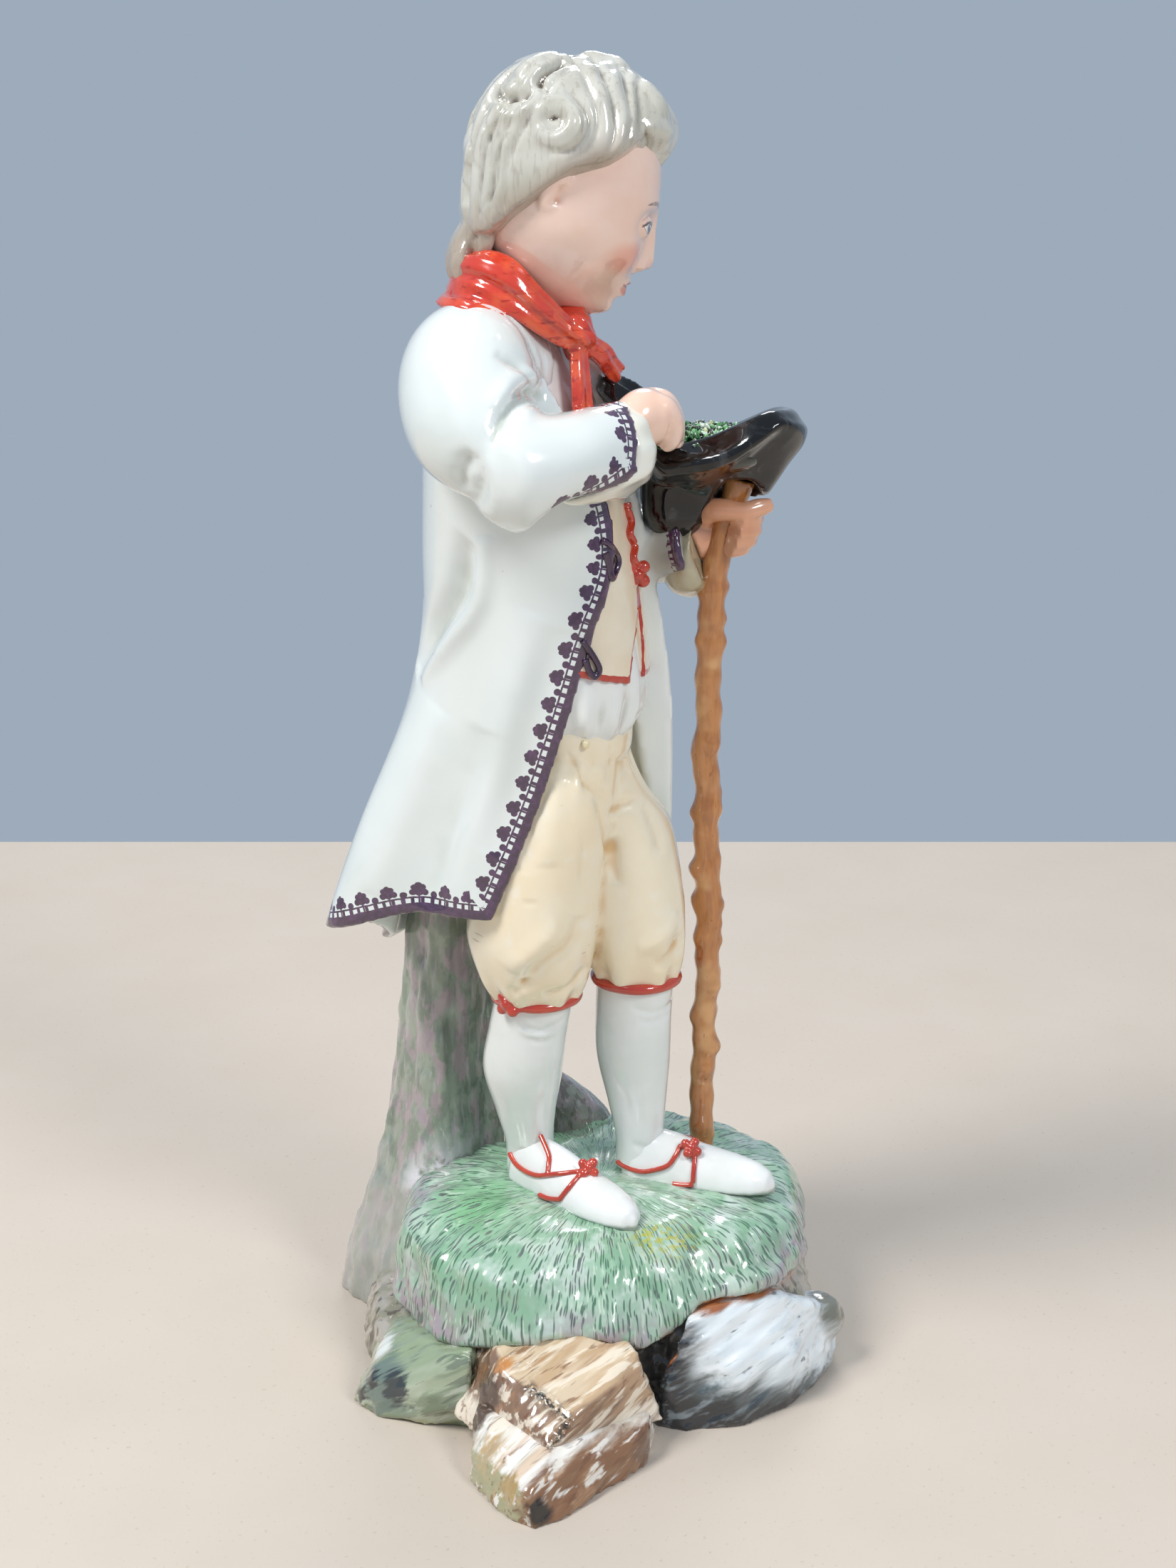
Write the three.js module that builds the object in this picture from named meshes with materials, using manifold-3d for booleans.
// Porcelain figure of a boy who leans back on a tree stump, with a staff through his closed left hand.
// Millimetres, +Z up. He faces -Y, his left is +X, and the underside of the rocky base is at z = 0.
import * as THREE from "three";
import { ConvexGeometry } from "three/addons/geometries/ConvexGeometry.js";
import { mergeVertices } from "three/addons/utils/BufferGeometryUtils.js";
import Module from "manifold-3d";

const wasm = await Module();
wasm.setup();

// Driving sizes
const turfHeight = 30.5; // where the shoes stand
const turfCentre = { x: 4, y: 0 };
const coatThick = { body: 9, hem: 2.2 }; // the coat grows out of the body above and hangs free below
const staffRadius = 2;
const staffPlay = 0.35; // clear space between the staff and what holds it
const faceTurn = 37; // degrees the head is turned to his left
const faceTilt = 23; // degrees the head is bowed
const skull = { x: 5.2, y: 6, z: 191.2, wide: 12, deep: 13, tall: 16.8 };
const shoe = { long: 26, wide: 4.7, tall: 7.4 };

const radians = THREE.MathUtils.degToRad;
const spot = (x, y, z) => new THREE.Vector3(x, y, z);

// A bell of height 1 around a middle, for folds and swellings.
const bell = (value, middle, width) => Math.exp(-(((value - middle) / width) ** 2));
const wrapped = (degrees) => ((((degrees + 180) % 360) + 360) % 360) - 180;
const angleBell = (degrees, middle, width) => bell(wrapped(degrees - middle), 0, width);

// Reads a row of stations at t from 0 to 1: every named number runs on a smooth curve through them.
function between(stations, t) {
  const last = stations.length - 1;
  const place = THREE.MathUtils.clamp(t, 0, 1) * last;
  const i = Math.min(Math.floor(place), last - 1);
  const f = place - i;
  const [a, b, c, d] = [i - 1, i, i + 1, i + 2].map(
    (k) => stations[THREE.MathUtils.clamp(k, 0, last)],
  );
  const read = {};
  for (const name of Object.keys(b)) {
    const [p, q, r, s] = [a[name], b[name], c[name], d[name]];
    read[name] =
      q + 0.5 * f * (r - p + f * (2 * p - 5 * q + 4 * r - s + f * (3 * (q - r) + s - p)));
  }
  return read;
}

// A closed skin over rings of equal count: ring(i) gives the points of ring i, and both ends are capped.
function skin(rings) {
  const around = rings[0].length;
  const points = rings.flat();
  const faces = [];
  for (let i = 0; i + 1 < rings.length; i++)
    for (let j = 0; j < around; j++) {
      const [a, b] = [i * around + j, i * around + ((j + 1) % around)];
      faces.push(a, b, b + around, a, b + around, a + around);
    }
  const cap = (ring, start, turnedRound) => {
    const middle = new THREE.Vector3();
    ring.forEach((p) => middle.addScaledVector(p, 1 / around));
    points.push(middle);
    for (let j = 0; j < around; j++) {
      const [a, b] = [start + j, start + ((j + 1) % around)];
      faces.push(points.length - 1, ...(turnedRound ? [a, b] : [b, a]));
    }
  };
  cap(rings[0], 0, false);
  cap(rings.at(-1), (rings.length - 1) * around, true);
  return solidFrom(points, faces);
}

// A skin over a ring that is folded into a thin C: the ends are capped as a strip between its two walls.
function stripSkin(rings) {
  const around = rings[0].length;
  const points = rings.flat();
  const faces = [];
  for (let i = 0; i + 1 < rings.length; i++)
    for (let j = 0; j < around; j++) {
      const [a, b] = [i * around + j, i * around + ((j + 1) % around)];
      faces.push(a, b, b + around, a, b + around, a + around);
    }
  const last = (rings.length - 1) * around;
  for (let j = 0; j + 1 < around / 2; j++) {
    const [a, b, c, d] = [j, j + 1, around - 2 - j, around - 1 - j];
    faces.push(a, c, b, a, d, c);
    faces.push(last + a, last + b, last + c, last + a, last + c, last + d);
  }
  return solidFrom(points, faces);
}

// A solid from a list of points and faces, turned so that its faces point out.
function solidFrom(points, faces) {
  const corner = (k) => points[faces[k]];
  let volume = 0;
  for (let k = 0; k < faces.length; k += 3)
    volume += corner(k).dot(corner(k + 1).clone().cross(corner(k + 2)));
  if (volume < 0)
    for (let k = 0; k < faces.length; k += 3)
      [faces[k], faces[k + 1]] = [faces[k + 1], faces[k]];
  return new wasm.Manifold(
    new wasm.Mesh({
      numProp: 3,
      vertProperties: Float32Array.from(points.flatMap((p) => [p.x, p.y, p.z])),
      triVerts: Uint32Array.from(faces),
    }),
  );
}

// A three.js geometry as a solid.
function solidOf(geometry) {
  const bare = geometry.clone();
  bare.deleteAttribute("normal");
  bare.deleteAttribute("uv");
  const merged = mergeVertices(bare, 1e-4);
  return new wasm.Manifold(
    new wasm.Mesh({
      numProp: 3,
      vertProperties: merged.attributes.position.array,
      triVerts: Uint32Array.from(merged.index.array),
    }),
  );
}

const joined = (solids) => solids.reduce((sum, next) => sum.add(next));

// Level rings, for what stands upright: wide is the half width along X and deep the half depth along Y.
// Angle 0 faces -Y and grows towards +X; swell(angle, t) is added to the radius, lift to the height.
function upright(stations, { around, along, swell = () => 0, lift = () => 0 }) {
  const rings = [];
  for (let i = 0; i <= along; i++) {
    const t = i / along;
    const s = between(stations, t);
    const ring = [];
    for (let j = 0; j < around; j++) {
      const turn = (j / around) * 2 * Math.PI;
      const degrees = THREE.MathUtils.radToDeg(turn);
      const extra = swell(degrees, t);
      ring.push(
        spot(
          s.x + (s.wide + extra) * Math.sin(turn),
          s.y - (s.deep + extra) * Math.cos(turn),
          s.z + lift(degrees, t),
        ),
      );
    }
    rings.push(ring);
  }
  return skin(rings);
}

// Rings square to a path, for limbs: wide is the radius along the given side direction, deep the other,
// and slant leans a ring forward at its top.
function limb(stations, { around, along, side = spot(1, 0, 0), swell = () => 0 }) {
  const rings = [];
  const middle = (t) => {
    const s = between(stations, t);
    return spot(s.x, s.y, s.z);
  };
  for (let i = 0; i <= along; i++) {
    const t = i / along;
    const s = between(stations, t);
    const ahead = middle(Math.min(1, t + 0.02)).sub(middle(Math.max(0, t - 0.02))).normalize();
    const across = side.clone().addScaledVector(ahead, -side.dot(ahead)).normalize();
    const other = across.clone().cross(ahead);
    const ring = [];
    for (let j = 0; j < around; j++) {
      const turn = (j / around) * 2 * Math.PI;
      const extra = swell(THREE.MathUtils.radToDeg(turn), t);
      const p = across
        .clone()
        .multiplyScalar((s.wide + extra) * Math.cos(turn))
        .addScaledVector(other, (s.deep + extra) * Math.sin(turn));
      p.addScaledVector(ahead, (s.slant ?? 0) * p.z);
      ring.push(p.add(spot(s.x, s.y, s.z)));
    }
    rings.push(ring);
  }
  return skin(rings);
}

// A ball, stretched, turned and pushed about by a function of its unit direction.
function ball(centre, size, { fine = [14, 10], push = () => 0, turn = new THREE.Euler() }) {
  const geometry = new THREE.SphereGeometry(1, ...fine);
  const place = geometry.attributes.position;
  const v = new THREE.Vector3();
  for (let i = 0; i < place.count; i++) {
    v.fromBufferAttribute(place, i);
    const grown = 1 + push(v.clone());
    v.set(v.x * size.x * grown, v.y * size.y * grown, v.z * size.z * grown);
    v.applyEuler(turn).add(centre);
    place.setXYZ(i, v.x, v.y, v.z);
  }
  return solidOf(geometry);
}

// Body under the coat: breeches seat, shirt, waistcoat, chest and the root of the neck
function body() {
  const stations = [
    { z: 96, x: 6.5, y: 5, wide: 11, deep: 9 },
    { z: 106, x: 6.3, y: 4.6, wide: 13, deep: 10.4 },
    { z: 112, x: 6, y: 4.8, wide: 13.8, deep: 11.2 },
    { z: 120, x: 5.6, y: 5, wide: 13.6, deep: 10.9 },
    { z: 134, x: 4.6, y: 6.6, wide: 13.6, deep: 10.6 },
    { z: 148, x: 3.2, y: 9.4, wide: 14.6, deep: 10.9 },
    { z: 161, x: 1.6, y: 12.6, wide: 15.4, deep: 10.6 },
    { z: 169, x: 1, y: 13.6, wide: 12, deep: 8.4 },
    { z: 175, x: 0.8, y: 12.6, wide: 6.2, deep: 6.2 },
    { z: 184, x: 1.6, y: 10.2, wide: 5.4, deep: 5.6 },
  ];
  return upright(stations, { around: 13, along: 8 });
}

// The coat: a thin open shell, split down the front, that falls behind over the stump
const coat = {
  levels: [
    { z: 176, x: 0.6, y: 13.4, wide: 8.4, deep: 8.2, right: -64, left: 64 },
    { z: 169.5, x: 0.8, y: 13.8, wide: 14.4, deep: 11, right: -46, left: 44 },
    { z: 162, x: 1.4, y: 13.4, wide: 18, deep: 13, right: -32, left: 34 },
    { z: 151, x: 2.8, y: 12.4, wide: 17.4, deep: 14.4, right: -24, left: 31 },
    { z: 138, x: 4.2, y: 12.2, wide: 16.8, deep: 16, right: -18, left: 30 },
    { z: 126, x: 4.8, y: 12.6, wide: 16.8, deep: 16.6, right: -22, left: 29 },
    { z: 113, x: 5, y: 14.2, wide: 17.4, deep: 17.8, right: -31, left: 28 },
    { z: 98, x: 5, y: 17.4, wide: 18.4, deep: 20, right: -47, left: 27 },
    { z: 80.5, x: 5, y: 21.2, wide: 20.2, deep: 22.4, right: -58, left: 26 },
  ],
  // Pleats: where they stand around the body, how wide and deep, and how far down the coat they start
  pleats: [
    { at: -130, width: 20, out: 7.6, from: 0.6 },
    { at: -164, width: 12, out: -3, from: 0.4 },
    { at: -92, width: 15, out: -1, from: 0.5 },
    { at: 168, width: 15, out: 1.6, from: 0.45 },
    { at: 140, width: 11, out: -2.4, from: 0.4 },
    { at: 112, width: 13, out: 2.4, from: 0.4 },
    { at: 78, width: 11, out: -1.6, from: 0.5 },
    { at: 30, width: 20, out: 5.4, from: 0.15 },
  ],
  hem: { back: -15, left: -4, tail: -3 },
};

function coatPoint(degrees, t) {
  const s = between(coat.levels, t);
  let out = 0;
  for (const p of coat.pleats) {
    const grown = THREE.MathUtils.smoothstep(t, p.from, 1);
    out += p.out * grown * angleBell(degrees, p.at, p.width);
  }
  const low = t ** 4;
  const drop =
    coat.hem.back * angleBell(degrees, 172, 42) +
    coat.hem.left * angleBell(degrees, 80, 45) +
    coat.hem.tail * angleBell(degrees, -128, 20);
  const turn = radians(degrees);
  return {
    middle: spot(s.x, s.y, s.z + drop * low),
    outward: spot(Math.sin(turn), -Math.cos(turn), 0),
    reach: (s.wide * s.deep) / Math.hypot(s.deep * Math.sin(turn), s.wide * Math.cos(turn)) + out,
    right: s.right,
    left: s.left,
  };
}

function coatShell() {
  const around = 24;
  const along = 9;
  const rings = [];
  for (let i = 0; i <= along; i++) {
    const t = i / along;
    const { right, left } = coatPoint(0, t);
    const free = THREE.MathUtils.smoothstep(t, 0.5, 0.82);
    const thick = coatThick.body + (coatThick.hem - coatThick.body) * free;
    const wall = (inset) =>
      Array.from({ length: around + 1 }, (_, j) => {
        const at = coatPoint(right + (left - 360 - right) * (j / around), t);
        return at.middle.addScaledVector(at.outward, at.reach - inset);
      });
    rings.push([...wall(0), ...wall(thick).reverse()]);
  }
  return stripSkin(rings);
}

// Sleeves: an upper arm, and a forearm that starts in a round elbow and widens to its mouth
function rightSleeve() {
  const side = spot(0.35, -0.94, 0);
  const upper = [
    { x: -0.5, y: 11, z: 165, wide: 7.4, deep: 7.4 },
    { x: -10.2, y: 13.8, z: 164, wide: 9.8, deep: 9.8 },
    { x: -17, y: 9, z: 159.4, wide: 9.2, deep: 9.2 },
    { x: -18.8, y: 1.4, z: 154.6, wide: 7, deep: 7 },
  ];
  const fore = [
    { x: -24.6, y: 3.6, z: 152.6, wide: 4, deep: 4.6, slant: 0 },
    { x: -20.4, y: 0.2, z: 153, wide: 8, deep: 8.4, slant: 0 },
    { x: -13.4, y: -3.6, z: 153.4, wide: 7.6, deep: 8.4, slant: 0.3 },
    { x: -5.6, y: -6, z: 153.8, wide: 6.8, deep: 8.2, slant: 0.6 },
  ];
  return [limb(upper, { around: 11, along: 6, side }), limb(fore, { around: 12, along: 6, side })];
}

function leftSleeve() {
  const side = spot(0.9, 0.4, 0);
  const upper = [
    { x: 6, y: 12.6, z: 164.6, wide: 6.6, deep: 6.8 },
    { x: 14.6, y: 12.6, z: 161.6, wide: 8, deep: 8 },
    { x: 19.6, y: 11.2, z: 150, wide: 7.6, deep: 7.6 },
    { x: 22.2, y: 8.2, z: 140, wide: 6, deep: 6 },
  ];
  const fore = [
    { x: 24, y: 13.4, z: 138, wide: 4, deep: 4 },
    { x: 22.8, y: 8.6, z: 137.6, wide: 7.4, deep: 7.6 },
    { x: 21.4, y: 1, z: 136.2, wide: 6.8, deep: 7.2 },
    { x: 19.2, y: -6.8, z: 136.8, wide: 6.4, deep: 7.4 },
  ];
  return [limb(upper, { around: 10, along: 5, side }), limb(fore, { around: 10, along: 5, side })];
}

// White shirt cuffs that stand out of the sleeves
function shirtCuffs() {
  const right = [
    { x: -8, y: -5.2, z: 153.4, wide: 6, deep: 7.4, slant: 0.6 },
    { x: -3.6, y: -6.8, z: 153.8, wide: 6.2, deep: 7.6, slant: 0.5 },
    { x: -1.6, y: -7.6, z: 154.2, wide: 4.8, deep: 6, slant: 0.4 },
  ];
  const left = [
    { x: 20, y: -4, z: 136.6, wide: 5.6, deep: 6.4 },
    { x: 19, y: -8.6, z: 137.4, wide: 5.6, deep: 6.4 },
    { x: 18.8, y: -10.4, z: 138, wide: 4.2, deep: 4.8 },
  ];
  const side = spot(0.35, -0.94, 0);
  return [
    limb(right, { around: 12, along: 3, side }),
    limb(left, { around: 10, along: 3 }),
  ];
}

// Red neckerchief: a rolled band round the neck, its knot and two ends
function neckerchief() {
  const middle = { x: 0.4, y: 12.6, z: 175.4 };
  const rings = [];
  const around = 20;
  const section = 6;
  for (let i = 0; i < around; i++) {
    const turn = (i / around) * 2 * Math.PI;
    const front = Math.cos(turn);
    const reach = 8.3 + 0.6 * front;
    const thick = 2.3 + 0.4 * Math.cos(3 * turn);
    const centre = spot(
      middle.x + reach * Math.sin(turn),
      middle.y - reach * front,
      middle.z - 4.6 * front,
    );
    const out = spot(Math.sin(turn), -front, 0);
    const ring = [];
    for (let j = 0; j < section; j++) {
      const a = (j / section) * 2 * Math.PI;
      ring.push(
        centre
          .clone()
          .addScaledVector(out, thick * Math.cos(a))
          .add(spot(0, 0, 3.6 * Math.sin(a) - 1.5 * Math.cos(a))),
      );
    }
    rings.push(ring);
  }
  const faces = [];
  for (let i = 0; i < around; i++)
    for (let j = 0; j < section; j++) {
      const [k, n] = [(i + 1) % around, (j + 1) % section];
      const [a, b, c, d] = [i * section + j, i * section + n, k * section + n, k * section + j];
      faces.push(a, b, c, a, c, d);
    }
  const band = solidFrom(rings.flat(), faces);
  const knot = ball(spot(2.4, 2, 170), spot(2.8, 2.6, 3.2), { fine: [8, 6] });
  const end = (points) => limb(points, { around: 6, along: 4 });
  const longEnd = end([
    { x: 1.6, y: 2, z: 169.6, wide: 1.6, deep: 1.3 },
    { x: 0.4, y: 0.4, z: 165, wide: 2.4, deep: 1.1 },
    { x: -0.6, y: -0.6, z: 159, wide: 2.5, deep: 1.1 },
    { x: -0.6, y: -1, z: 154, wide: 2, deep: 0.9 },
  ]);
  const shortEnd = end([
    { x: 3.2, y: 2, z: 169.4, wide: 1.5, deep: 1.3 },
    { x: 6, y: 0.4, z: 167, wide: 2, deep: 1.5 },
    { x: 8.6, y: 0, z: 164.4, wide: 2.4, deep: 1.3 },
  ]);
  return [band, knot, longEnd, shortEnd];
}

// Head directions: x to his left ear, y to the back of the head, z to the crown
const ahead = spot(Math.sin(radians(faceTurn)), -Math.cos(radians(faceTurn)), 0);
const bowed = { cos: Math.cos(radians(faceTilt)), sin: Math.sin(radians(faceTilt)) };
const headAxes = {
  x: spot(-ahead.y, ahead.x, 0),
  y: spot(-ahead.x * bowed.cos, -ahead.y * bowed.cos, bowed.sin),
  z: spot(ahead.x * bowed.sin, ahead.y * bowed.sin, bowed.cos),
};
const onHead = (x, y, z) =>
  spot(skull.x, skull.y, skull.z)
    .addScaledVector(headAxes.x, x)
    .addScaledVector(headAxes.y, y)
    .addScaledVector(headAxes.z, z);

// Lowest elevation of the hair at every 20 degrees round from the face to the nape
const hairLine = [37, 35, 24, 6, 0, -8, -26, -46, -56, -58];
const hairAt = (around, up) => {
  const place = Math.min(Math.abs(around) / 20, 8.999);
  const i = Math.floor(place);
  const edge = hairLine[i] + (hairLine[i + 1] - hairLine[i]) * (place - i);
  return THREE.MathUtils.smoothstep(up, edge - 5, edge + 7);
};

// How far the head stands out of an egg in a direction: features of the face, and waves of combed back hair
function headPush(v) {
  const around = THREE.MathUtils.radToDeg(Math.atan2(v.x, -v.y));
  const up = THREE.MathUtils.radToDeg(Math.asin(THREE.MathUtils.clamp(v.z, -1, 1)));
  const at = (x, z, wx, wz) => bell(Math.abs(around), x, wx) * bell(up, z, wz);
  const face =
    0.17 * at(0, -9, 8, 9) +
    0.09 * at(0, 4, 6, 12) -
    0.05 * at(20, 3, 10, 7) +
    0.03 * at(0, -32, 12, 5) +
    0.06 * at(0, -50, 14, 9) +
    0.02 * at(38, -20, 18, 14) -
    0.08 * bell(up, -62, 22) * Math.max(0, v.y);
  const waves = 0.045 * Math.cos(radians(around * 7 + 46 * Math.sin(radians(up * 3))));
  const back = Math.max(0, v.y);
  const hair =
    0.15 +
    0.06 * bell(up, 80, 30) +
    0.07 * bell(up, 34, 26) +
    0.08 * bell(up, -14, 40) * back +
    0.24 * bell(up, 32, 32) * back +
    waves;
  const covered = hairAt(around, up);
  return face * (1 - covered) + hair * covered;
}

function head() {
  const geometry = new THREE.SphereGeometry(1, 22, 16);
  geometry.rotateX(Math.PI / 2);
  const place = geometry.attributes.position;
  const v = new THREE.Vector3();
  for (let i = 0; i < place.count; i++) {
    v.fromBufferAttribute(place, i);
    const grown = 1 + headPush(v);
    v.copy(onHead(v.x * skull.wide * grown, v.y * skull.deep * grown, v.z * skull.tall * grown));
    place.setXYZ(i, v.x, v.y, v.z);
  }
  return solidOf(geometry);
}

// Locks that stand free of the waves: the forelock, a roll over each ear and two curls at the nape
function locks() {
  const lock = (points) =>
    limb(
      points.map(([x, y, z, thick]) => ({ ...onHead(x, y, z), wide: thick, deep: thick * 0.8 })),
      { around: 5, along: 4, side: spot(0.6, 0.7, 0.3) },
    );
  const pairs = [1, -1].flatMap((side) => [
    lock([[side * 4, -3, 17, 2], [side * 5.6, -8.6, 14.6, 2.8], [side * 7.4, -11, 8, 1.4]]),
    lock([[side * 11, -7.6, 7, 1.8], [side * 13, -2, 4, 2.8], [side * 13.4, 4, 5, 2]]),
    lock([[side * 7, 12.4, -2, 3.4], [side * 5, 12.4, -9, 3.4], [side * 3, 10, -15, 2]]),
  ]);
  const forelock = lock([[0, -1, 18.4, 2.4], [-1, -7, 17, 3], [-0.6, -11.6, 13, 2.4], [1, -13.4, 9, 1.2]]);
  return [...pairs, forelock];
}

// Hat held crown down: bowl, and a brim that rises at both ends of its long axis and dips between
const hat = {
  x: 17.6,
  y: -10.6,
  z: 154,
  long: 15.8,
  wide: 13,
  turn: 21, // degrees from -Y towards +X of the long axis
  rim: { middle: 3.6, saddle: 6, notch: 7.6 }, // height of the rim: its ends rise, and the front tip dips
  bowl: 7.6,
  bowlBack: 3.6, // how far the bowl sits behind the middle of the brim
  depth: 13,
};

function hatSolid() {
  const around = 18;
  // share runs over the brim from the bowl (0) to the rim (1); fall is the drop of the bowl below the brim
  const profile = [
    { reach: 0.72, share: 0, fall: 1, wall: 0 },
    { reach: 0.92, share: 0, fall: 0.9, wall: 0 },
    { reach: 1, share: 0, fall: 0.45, wall: 0 },
    { reach: 1, share: 0.12, fall: 0.1, wall: 0 },
    { reach: 1, share: 0.6, fall: 0, wall: -0.9 },
    { reach: 1, share: 1, fall: 0, wall: -0.7 },
    { reach: 1, share: 0.99, fall: 0, wall: 0.8 },
    { reach: 1, share: 0.55, fall: 0, wall: 1.1 },
    { reach: 1, share: 0, fall: 0, wall: 0.9 },
    { reach: 0.8, share: 0, fall: 0.1, wall: 0 },
  ];
  const turn = radians(hat.turn);
  const rings = profile.map((p) =>
    Array.from({ length: around }, (_, j) => {
      const a = (j / around) * 2 * Math.PI;
      const reach = (full) => p.reach * hat.bowl + p.share * (full - hat.bowl);
      const along = reach(hat.long) * Math.cos(a) - hat.bowlBack * (1 - p.share);
      const across = reach(hat.wide) * Math.sin(a);
      const front = wrapped(THREE.MathUtils.radToDeg(a));
      const rim =
        hat.rim.middle + hat.rim.saddle * Math.cos(2 * a) - hat.rim.notch * bell(front, 0, 24);
      const throat = (1.2 - 9 * bell(front, 0, 42)) * (1 - p.fall);
      const rise = throat + (rim - throat) * p.share ** (1.6 - 0.6 * bell(front, 0, 40));
      return spot(
        hat.x + along * Math.sin(turn) + across * Math.cos(turn),
        hat.y - along * Math.cos(turn) + across * Math.sin(turn),
        hat.z + rise + p.wall - p.fall * hat.depth,
      );
    }),
  );
  return skin(rings);
}

// Leaves and berries heaped in the bowl of the hat
const greenery = () =>
  ball(spot(hat.x - 0.6, hat.y + 1, hat.z - 0.8), spot(8, 9.4, 4.8), {
    fine: [10, 6],
    push: (v) => 0.07 * Math.sin(9 * v.x + 1) * Math.sin(8 * v.y),
  });

// Hands: the right reaches down into the hat
function rightHand() {
  const wrist = limb(
    [
      { x: -4, y: -6.8, z: 154.6, wide: 3.6, deep: 4 },
      { x: 1, y: -8.4, z: 157.4, wide: 3.8, deep: 4.4 },
      { x: 5, y: -9.8, z: 158.8, wide: 4, deep: 4.6 },
      { x: 7.6, y: -11, z: 157.4, wide: 3.8, deep: 3.6 },
    ],
    { around: 10, along: 5, side: spot(0.35, -0.94, 0) },
  );
  const fingers = [-1, 1].map((half) => {
    const start = spot(7 + 0.8 * half, -10.6 + 1.8 * half, 158);
    return limb(
      [
        { ...start, wide: 2.4, deep: 2 },
        { ...spot(2.6, -0.9, -0.8).add(start), wide: 2.3, deep: 1.8 },
        { ...spot(4, -1, -5).add(start), wide: 1.8, deep: 1.2 },
      ],
      { around: 7, along: 3, side: spot(0.3, 0.9, 0) },
    );
  });
  return [wrist, ...fingers];
}

// The left hand is closed round the staff, with the thumb along its top
const fist = { x: 20.6, y: -13.4, z: 142 };
function leftHand() {
  const wrist = limb(
    [
      { x: 18.8, y: -7.6, z: 137.8, wide: 3.6, deep: 4 },
      { x: 21.6, y: -10.4, z: 139.8, wide: 3.8, deep: 4.8 },
      { x: 24, y: -12.8, z: 140.6, wide: 3, deep: 5 },
    ],
    { around: 9, along: 3 },
  );
  const roundStaff = (z, from, to, reach, thick) => {
    const stations = [];
    for (let i = 0; i <= 3; i++) {
      const a = radians(from + ((to - from) * i) / 3);
      stations.push({
        x: fist.x + 0.1 * (z - fist.z) + reach * Math.cos(a),
        y: fist.y - 0.2 * (z - fist.z) + reach * Math.sin(a),
        z,
        wide: thick,
        deep: thick * 1.1,
      });
    }
    return limb(stations, { around: 6, along: 4, side: spot(0, 0, 1) });
  };
  const fingers = [0, 1, 2, 3].map((k) => roundStaff(fist.z + 2 - 2.5 * k, 30, -170, 4.1, 1.55));
  const thumb = roundStaff(fist.z + 3.8, 100, -30, 4.2, 1.5);
  return [wrist, ...fingers, thumb];
}

// Breeches: full to the knee, where they are gathered
function breeches() {
  const right = [
    { z: 104, x: 1.6, y: 5.6, wide: 9, deep: 9.6 },
    { z: 94, x: 0.2, y: 7, wide: 9.6, deep: 10 },
    { z: 84, x: -0.6, y: 8.8, wide: 10.2, deep: 10.4 },
    { z: 75, x: -0.2, y: 9.4, wide: 9.8, deep: 10 },
    { z: 68, x: 0.2, y: 9.6, wide: 8, deep: 8.2 },
    { z: 63, x: 0.3, y: 10, wide: 6.6, deep: 6.8 },
  ];
  const left = [
    { z: 104, x: 10.6, y: 3.6, wide: 9, deep: 9.2 },
    { z: 95, x: 11.6, y: 2.2, wide: 9, deep: 9.2 },
    { z: 86, x: 12.2, y: 0.6, wide: 9, deep: 9.4 },
    { z: 77, x: 12.6, y: -0.8, wide: 8.8, deep: 9.2 },
    { z: 70, x: 12.8, y: -1.6, wide: 7.8, deep: 8 },
    { z: 64.5, x: 12.8, y: -1.8, wide: 6.6, deep: 6.8 },
  ];
  const folds = (degrees, t) => {
    const gather = THREE.MathUtils.smoothstep(t, 0.55, 0.95);
    const hollow = 0.7 * angleBell(degrees, 20, 16) * bell(t, 0.35, 0.2);
    return 0.4 * gather * Math.sin(radians(degrees * 5)) - hollow;
  };
  const settings = { around: 13, along: 6, swell: folds };
  return [upright(right, settings), upright(left, settings)];
}

// Stockings with the calf behind, and a garter band at the knee
function stockings() {
  const right = [
    { z: 65, x: 0.3, y: 10, wide: 6.3, deep: 6.5 },
    { z: 58, x: 0.1, y: 11.4, wide: 6.2, deep: 6.7 },
    { z: 50, x: 0.4, y: 12.8, wide: 5.9, deep: 6.9 },
    { z: 42, x: 1.2, y: 12.8, wide: 4.5, deep: 5.2 },
    { z: 36, x: 1.8, y: 12.4, wide: 3.7, deep: 4.2 },
    { z: 31, x: 2, y: 12.2, wide: 3.8, deep: 4.4 },
  ];
  const left = [
    { z: 66, x: 12.8, y: -1.8, wide: 6.3, deep: 6.5 },
    { z: 59, x: 12.8, y: -1.4, wide: 6.1, deep: 6.5 },
    { z: 51, x: 12.8, y: -1.4, wide: 5.6, deep: 6.4 },
    { z: 42, x: 12.8, y: -2.2, wide: 4.3, deep: 5 },
    { z: 36, x: 12.6, y: -2.8, wide: 3.7, deep: 4.2 },
    { z: 31, x: 12.4, y: -3, wide: 3.8, deep: 4.4 },
  ];
  const settings = { around: 12, along: 6 };
  const garter = (s, lift) =>
    upright(
      [
        { z: s.z + lift - 1, x: s.x, y: s.y, wide: s.wide + 0.7, deep: s.deep + 0.7 },
        { z: s.z + lift + 1, x: s.x, y: s.y, wide: s.wide + 0.8, deep: s.deep + 0.8 },
      ],
      { around: 14, along: 1 },
    );
  return [
    upright(right, settings),
    upright(left, settings),
    garter(right[0], -2),
    garter(left[0], -1.6),
  ];
}

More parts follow.
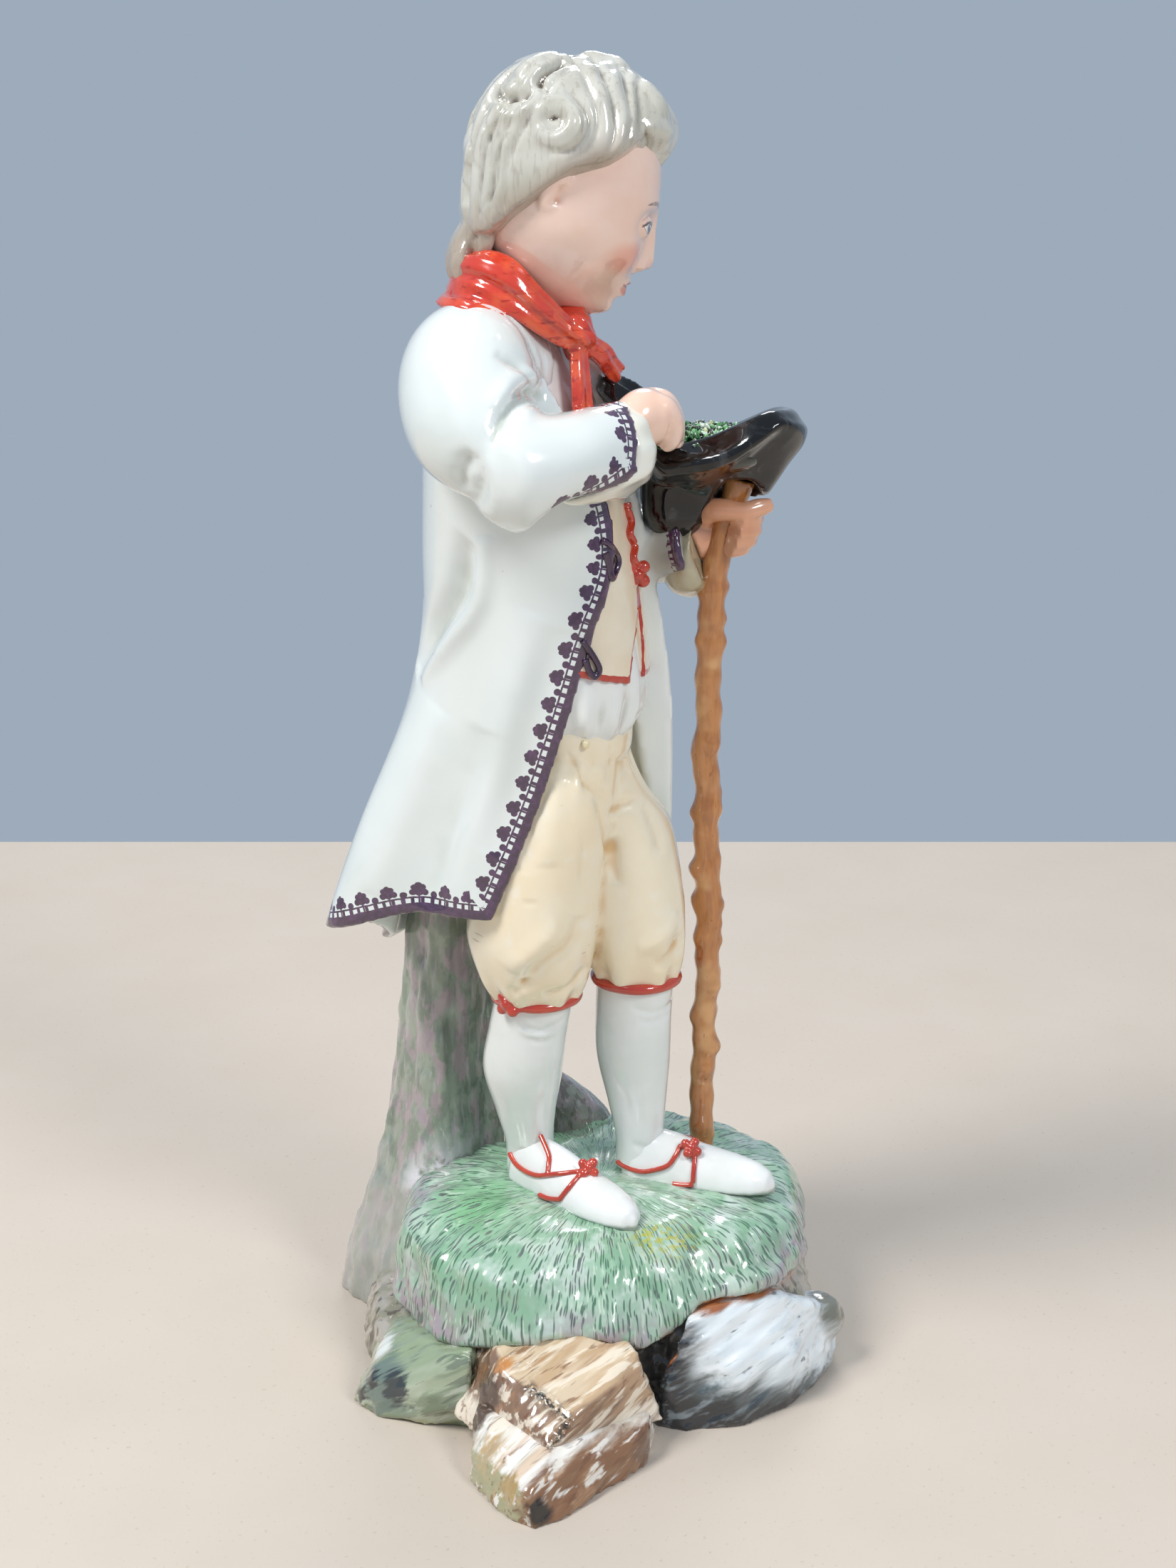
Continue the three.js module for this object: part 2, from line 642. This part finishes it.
// A soft slipper from heel to pointed toe
function slipper(heel, toe) {
  const run = spot(toe.x - heel.x, toe.y - heel.y, 0);
  const side = spot(-run.y, run.x, 0).normalize();
  const shape = [
    { f: 0, wide: 0.55, top: 0.82 },
    { f: 0.08, wide: 0.86, top: 1 },
    { f: 0.3, wide: 0.96, top: 0.98 },
    { f: 0.52, wide: 1.04, top: 0.76 },
    { f: 0.76, wide: 0.94, top: 0.54 },
    { f: 0.93, wide: 0.52, top: 0.34 },
    { f: 1, wide: 0.14, top: 0.2 },
  ];
  const rings = shape.map((s) => {
    const middle = spot(heel.x + run.x * s.f, heel.y + run.y * s.f, turfHeight);
    const ring = [];
    for (let j = 0; j < 10; j++) {
      const a = (j / 10) * 2 * Math.PI;
      const rise = Math.sin(a) > 0 ? Math.sin(a) * shoe.tall * s.top : Math.sin(a) * 1.4;
      ring.push(
        middle
          .clone()
          .addScaledVector(side, shoe.wide * s.wide * Math.cos(a))
          .add(spot(0, 0, rise)),
      );
    }
    return ring;
  });
  const bow = ball(
    spot(heel.x + run.x * 0.5, heel.y + run.y * 0.5, turfHeight + shoe.tall * 0.84),
    spot(2, 2, 1.4),
    { fine: [8, 6] },
  );
  return [skin(rings), bow];
}

// Turf: rounded top over an overhanging lip, measured as a reach at angles round its centre
const turf = {
  lip: [31, 34, 33, 36, 39, 36, 31, 30, 33, 35, 35, 30, 28, 27.5, 27, 26],
  foot: [33, 36, 37, 40, 40, 37, 36, 38, 42, 40, 38, 32, 28, 24, 22, 28],
  levels: [
    { z: 0, out: 0, low: 1 },
    { z: 5, out: 0.4, low: 1 },
    { z: 12, out: -1.6, low: 0.9 },
    { z: 15.5, out: -1.4, low: 0.25 },
    { z: 17.5, out: 0.4, low: 0 },
    { z: 21, out: 0.3, low: 0 },
    { z: 25.4, out: -2.8, low: 0 },
    { z: 28.8, out: -9, low: 0 },
    { z: 30.4, out: -18, low: 0 },
  ],
};

const reachAt = (list, degrees) => {
  const place = (((degrees % 360) + 360) % 360) / (360 / list.length);
  const i = Math.floor(place);
  const f = place - i;
  const pick = (k) => list[(i + k + list.length) % list.length];
  const [p, q, r, s] = [pick(-1), pick(0), pick(1), pick(2)];
  return q + 0.5 * f * (r - p + f * (2 * p - 5 * q + 4 * r - s + f * (3 * (q - r) + s - p)));
};

function turfMound() {
  const around = 26;
  const rings = turf.levels.map((level) =>
    Array.from({ length: around }, (_, j) => {
      const degrees = (j / around) * 360;
      const turn = radians(degrees);
      const lip = reachAt(turf.lip, degrees);
      const foot = reachAt(turf.foot, degrees);
      const reach = level.out + level.low * foot + (1 - level.low) * lip;
      return spot(
        turfCentre.x + reach * Math.sin(turn),
        turfCentre.y - reach * Math.cos(turn),
        level.z,
      );
    }),
  );
  return skin(rings);
}

// Rocks: blocks given by the corners of their broken faces
function rocks() {
  const block = (corners) => solidOf(new ConvexGeometry(corners.map((c) => spot(...c))));
  const frontUpper = block([
    [-31, 4, 15], [-37, -11, 12.6], [-34, -14, 12], [-20, -22.4, 14], [-14, -8, 19], [-22, 6, 17],
    [-33, 6, 4], [-39, -12.6, 5], [-35, -16.4, 4], [-17, -24, 4], [-8, 0, 4],
  ]);
  const frontLower = block([
    [-39, 0.6, 8], [-45.6, -17.4, 7.2], [-30, -21.6, 8.4], [-17, -20.6, 9],
    [-40.4, -1, 0], [-47, -19, 0], [-30, -23.4, 0], [-14.6, -21, 0], [-20, 6, 0], [-24, 6, 8],
  ]);
  const side = block([
    [-10, -24.6, 17.6], [5, -33.6, 18], [14, -35.4, 14.4], [22, -34.6, 9], [10, -20, 18],
    [-13.4, -22.6, 9], [-13.6, -22, 0], [-7, -32.4, 0], [9, -38.2, 0], [19, -37.6, 3], [27, -31.6, 0],
    [18, -16, 0], [13, -37.4, 6],
  ]);
  const left = block([
    [-31, 8, 13.6], [-25, 20, 11.6], [-19, 27, 9], [-33, 22, 6],
    [-29, 5, 0], [-34, 20, 0], [-31, 26.4, 0], [-20, 31, 0], [-12, 12, 0], [-12, 12, 14],
  ]);
  const back = block([
    [36, 12, 16], [28, 22, 17], [38, -2, 14], [24, 30, 9],
    [42, 10, 0], [34, 26, 0], [20, 36, 0], [42, -6, 0], [14, 8, 0], [14, 8, 18],
  ]);
  return [frontUpper, frontLower, side, left, back];
}

// Stump: a leaning trunk with roots that spread at its foot
function stump() {
  const trunk = upright(
    [
      { z: 0, x: 8, y: 38, wide: 17, deep: 13 },
      { z: 8, x: 8, y: 37.6, wide: 16, deep: 12.4 },
      { z: 20, x: 9.4, y: 36.4, wide: 14, deep: 10.8 },
      { z: 34, x: 11, y: 35.4, wide: 12, deep: 9.6 },
      { z: 52, x: 11.6, y: 34.6, wide: 10, deep: 8.4 },
      { z: 72, x: 11, y: 33, wide: 8.6, deep: 7.6 },
      { z: 96, x: 9.6, y: 29, wide: 8, deep: 7 },
    ],
    {
      around: 15,
      along: 6,
      swell: (degrees, t) => {
        const low = (1 - t) ** 2;
        const knots = 0.5 * Math.sin(radians(degrees * 4)) * bell(t, 0.6, 0.4);
        const roots = 3.4 * angleBell(degrees, -160, 24) + 3 * angleBell(degrees, -70, 20);
        const hollows = 2 * angleBell(degrees, -112, 16);
        return knots + low * (roots - hollows + 3 * angleBell(degrees, 70, 26));
      },
    },
  );
  const sideRoot = limb(
    [
      { x: 16, y: 31, z: 46, wide: 5, deep: 5 },
      { x: 22, y: 27, z: 36, wide: 6, deep: 5.6 },
      { x: 28, y: 20, z: 28.6, wide: 6, deep: 5.4 },
      { x: 32, y: 13, z: 21, wide: 4, deep: 4 },
    ],
    { around: 9, along: 4 },
  );
  return [trunk, sideRoot];
}

// Staff: a crooked stick with knots, gripped near its top
const staffPath = [
  { x: 24, y: -8.6, z: 30.8, thick: 1 },
  { x: 23.4, y: -9.2, z: 50, thick: 1.04 },
  { x: 22.8, y: -10, z: 70, thick: 1 },
  { x: 21.4, y: -10.1, z: 92, thick: 1.06 },
  { x: 20.3, y: -10.7, z: 114, thick: 1.06 },
  { x: 19.6, y: -11.9, z: 133.4, thick: 1.08 },
  { x: 21.2, y: -14.6, z: 146.4, thick: 1.1 },
];

function staff(extra = 0, knots = 1) {
  const stations = staffPath.map(({ x, y, z, thick }) => {
    const size = staffRadius * thick + extra;
    return { x, y, z, wide: size, deep: size };
  });
  return limb(stations, {
    around: 6,
    along: 25,
    swell: (degrees, t) =>
      t < 0.84 ? knots * 0.4 * Math.sin(t * 97) * Math.cos(radians(degrees + 900 * t)) : 0,
  });
}

const figure = joined([
  body(),
  coatShell(),
  ...rightSleeve(),
  ...leftSleeve(),
  ...shirtCuffs(),
  ...neckerchief(),
  head(),
  ...locks(),
  hatSolid(),
  greenery(),
  ...rightHand(),
  ...leftHand(),
  ...breeches(),
  ...stockings(),
  ...slipper({ x: 2, y: 14.8 }, { x: -6, y: -12.4 }),
  ...slipper({ x: 12, y: -0.4 }, { x: 17.4, y: -26 }),
  turfMound(),
  ...rocks(),
  ...stump(),
]).subtract(staff(staffPlay + 0.45, 0));

// The faces of the outer skin only, so that air shut in between joined forms is filled with clay
function outerFaces(faces, count) {
  const leader = Array.from({ length: count }, (_, i) => i);
  const find = (i) => {
    while (leader[i] !== i) i = leader[i] = leader[leader[i]];
    return i;
  };
  for (let k = 0; k < faces.length; k += 3)
    for (const next of [1, 2]) leader[find(faces[k + next])] = find(faces[k]);
  const sizes = new Map();
  for (const corner of faces) sizes.set(find(corner), (sizes.get(find(corner)) ?? 0) + 1);
  const [outer] = [...sizes].sort((a, b) => b[1] - a[1])[0];
  return faces.filter((_, k) => find(faces[k - (k % 3)]) === outer);
}

// A solid as a mesh with its own material
function piece(name, solid, colour, roughness) {
  const { numProp, vertProperties, triVerts } = solid.getMesh();
  const place = vertProperties.filter((_, i) => i % numProp < 3);
  const full = new THREE.BufferGeometry();
  full.setAttribute("position", new THREE.BufferAttribute(place, 3));
  full.setIndex(new THREE.BufferAttribute(outerFaces(triVerts, place.length / 3), 1));
  const geometry = full.toNonIndexed();
  geometry.computeVertexNormals();
  const material = new THREE.MeshStandardMaterial({ color: colour, roughness, metalness: 0 });
  const mesh = new THREE.Mesh(geometry, material);
  mesh.name = name;
  return mesh;
}

const group = new THREE.Group();
group.add(piece("figure_on_base", figure, 0xe9ece6, 0.15));
group.add(piece("staff", staff(), 0xb0703c, 0.3));

export default group;
